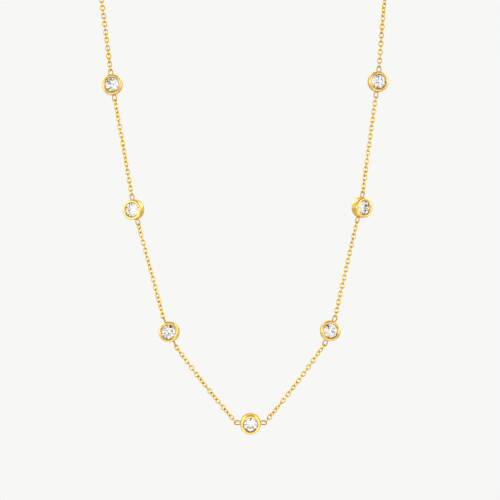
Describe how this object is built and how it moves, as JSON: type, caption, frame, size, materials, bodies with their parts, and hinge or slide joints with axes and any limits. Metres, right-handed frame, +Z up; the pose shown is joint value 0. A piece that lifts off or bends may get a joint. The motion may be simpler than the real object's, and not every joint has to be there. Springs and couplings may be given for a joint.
{
  "type": "station necklace",
  "caption": "Fine oval-link neck chain with round bezel-set clear stones spaced along its front, closed by a plain clasp at the nape.",
  "frame": {"origin": "on the axis of the wearer's neck, level with the chain where it rests at the nape", "axes": "+Z up along the neck, -Y forward, the way the stones face, +X to the viewer's right"},
  "size_m": [0.0871, 0.0985, 0.1338],
  "materials": {
    "gold": "polished yellow gold plating",
    "stone": "clear colourless cut stone"
  },
  "bodies": {
    "root": {"setting_1": "gold", "setting_2": "gold", "setting_3": "gold", "setting_4": "gold", "setting_5": "gold", "setting_6": "gold", "setting_7": "gold", "stone_1": "stone", "stone_2": "stone", "stone_3": "stone", "stone_4": "stone", "stone_5": "stone", "stone_6": "stone", "stone_7": "stone", "chain_1": "gold", "chain_2": "gold", "chain_3": "gold", "chain_4": "gold", "chain_5": "gold", "chain_6": "gold", "chain_left": "gold", "chain_right": "gold", "clasp": "gold"}
  },
  "joints": []
}
